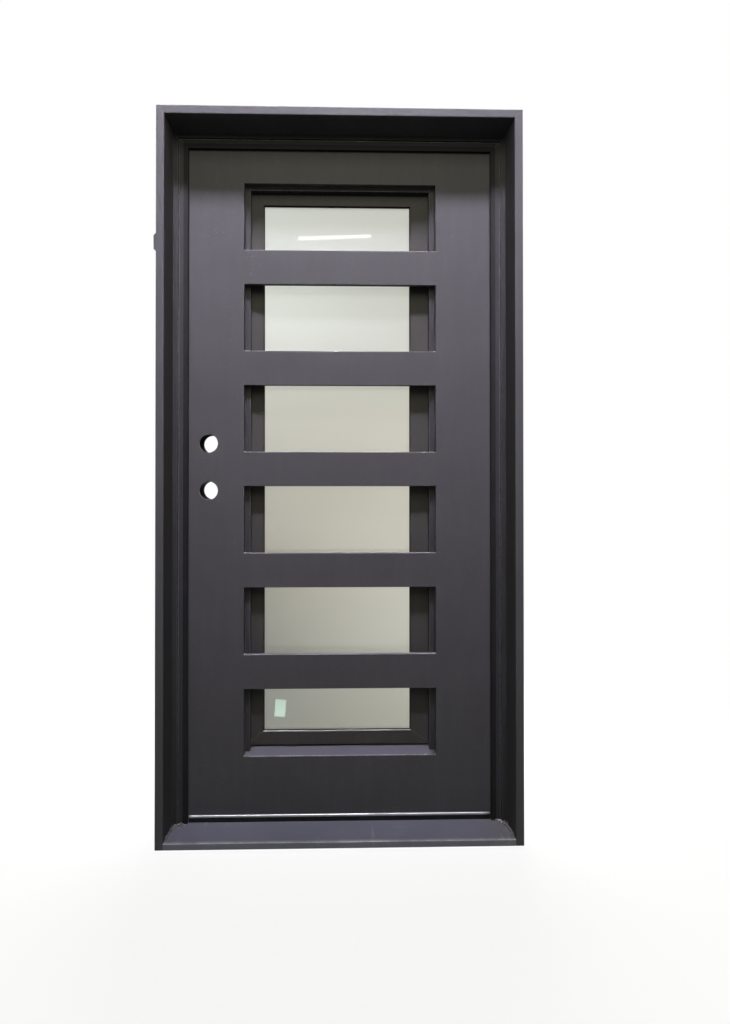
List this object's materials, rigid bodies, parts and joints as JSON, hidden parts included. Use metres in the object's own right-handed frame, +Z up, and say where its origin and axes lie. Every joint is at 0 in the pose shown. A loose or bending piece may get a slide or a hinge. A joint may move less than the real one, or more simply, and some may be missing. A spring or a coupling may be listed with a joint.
{
  "type": "iron entry door with frame",
  "caption": "Black iron entry door hung in a stepped steel frame, with level lattice openings over one obscure glass sash that opens indoors, bored for a lock.",
  "frame": {"origin": "middle of the frame's foot, half way through its depth", "axes": "+X along the wall to the hinge side, +Y from outdoors to indoors, +Z up"},
  "size_m": [1.087, 0.1705, 2.128],
  "materials": {
    "painted_steel": "satin black",
    "seal_rubber": "matte",
    "sweep_aluminium": "mill",
    "obscure_glass": "fine frosted",
    "pin_steel": "brushed"
  },
  "bodies": {
    "frame": {"hinge_jamb": "painted_steel", "lock_jamb": "painted_steel", "head": "painted_steel", "threshold": "painted_steel", "hinge_stop": "painted_steel", "lock_stop": "painted_steel", "head_stop": "painted_steel", "hinge_seal": "seal_rubber", "lock_seal": "seal_rubber", "head_seal": "seal_rubber", "side_anchor_ear": "painted_steel", "head_anchor_ear": "painted_steel", "lower_hinge_frame_plate": "painted_steel", "lower_hinge_pin": "pin_steel", "middle_hinge_frame_plate": "painted_steel", "middle_hinge_pin": "pin_steel", "upper_hinge_frame_plate": "painted_steel", "upper_hinge_pin": "pin_steel"},
    "leaf": {"leaf_skin": "painted_steel", "hinge_stile": "painted_steel", "lock_stile": "painted_steel", "top_rail": "painted_steel", "bottom_rail": "painted_steel", "sweep_carrier": "sweep_aluminium", "sweep_fin": "seal_rubber", "hinge_sash_stop": "painted_steel", "lock_sash_stop": "painted_steel", "top_sash_stop": "painted_steel", "sash_gasket": "seal_rubber", "sash_hinge_pins": "pin_steel", "cross_bar_1": "painted_steel", "cross_bar_2": "painted_steel", "cross_bar_3": "painted_steel", "cross_bar_4": "painted_steel", "cross_bar_5": "painted_steel", "lower_hinge_leaf_plate": "painted_steel", "lower_sash_hinge_leaf_plate": "painted_steel", "middle_hinge_leaf_plate": "painted_steel", "middle_sash_hinge_leaf_plate": "painted_steel", "upper_hinge_leaf_plate": "painted_steel", "upper_sash_hinge_leaf_plate": "painted_steel", "lower_turn_button_stud": "pin_steel", "upper_turn_button_stud": "pin_steel"},
    "sash": {"sash_latch_stile": "painted_steel", "sash_hinge_stile": "painted_steel", "sash_foot_rail": "painted_steel", "sash_top_rail": "painted_steel", "pane": "obscure_glass", "foot_bead": "painted_steel", "top_bead": "painted_steel", "latch_bead": "painted_steel", "hinge_bead": "painted_steel", "sash_foot_strip": "seal_rubber", "lower_sash_hinge_sash_plate": "painted_steel", "middle_sash_hinge_sash_plate": "painted_steel", "upper_sash_hinge_sash_plate": "painted_steel"},
    "lower_button": {"lower_turn_button": "painted_steel"},
    "upper_button": {"upper_turn_button": "painted_steel"}
  },
  "joints": [
    {"name": "leaf_swing", "type": "hinge", "parent": "frame", "child": "leaf", "pos_m": [0.461, 0.0855, 0], "axis": [0, 0, -1], "range_deg": [0, 110]},
    {"name": "sash_swing", "type": "hinge", "parent": "leaf", "child": "sash", "pos_m": [0.283, 0.0825, 0], "axis": [0, 0, -1], "range_deg": [0, 90]},
    {"name": "lower_button_turn", "type": "hinge", "parent": "leaf", "child": "lower_button", "pos_m": [-0.299, 0.0784, 0.643], "axis": [0, 1, 0], "range_deg": [0, 90]},
    {"name": "upper_button_turn", "type": "hinge", "parent": "leaf", "child": "upper_button", "pos_m": [-0.299, 0.0784, 1.482], "axis": [0, 1, 0], "range_deg": [0, 90]}
  ]
}
